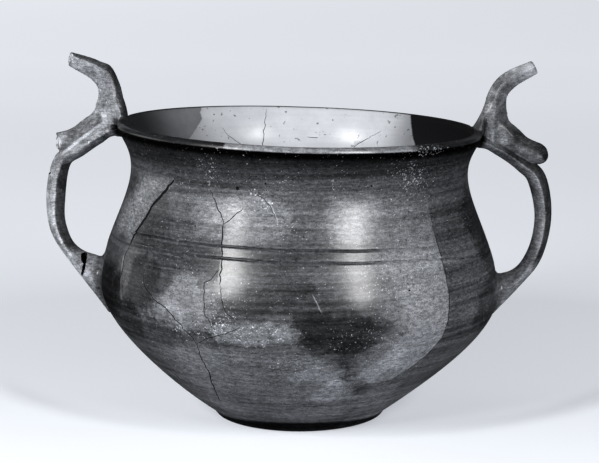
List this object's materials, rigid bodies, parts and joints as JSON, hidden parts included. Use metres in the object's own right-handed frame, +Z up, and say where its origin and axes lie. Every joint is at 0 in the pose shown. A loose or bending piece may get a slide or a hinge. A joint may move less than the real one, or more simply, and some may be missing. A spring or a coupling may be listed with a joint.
{
  "type": "bowl",
  "caption": "Deep round bowl with a flat foot, a full belly, a flared lip and two upright loop handles ending in outward-curling horns.",
  "frame": {"origin": "centre of the flat underside", "axes": "+Z up, +X towards the handle whose lug is whole, +Y away from the side shown in the picture"},
  "size_m": [0.2667, 0.2106, 0.1913],
  "materials": {
    "burnished_clay": "dark burnished earthenware with worn, mottled and salt-speckled patches"
  },
  "bodies": {
    "root": {"bowl": "burnished_clay"}
  },
  "joints": []
}
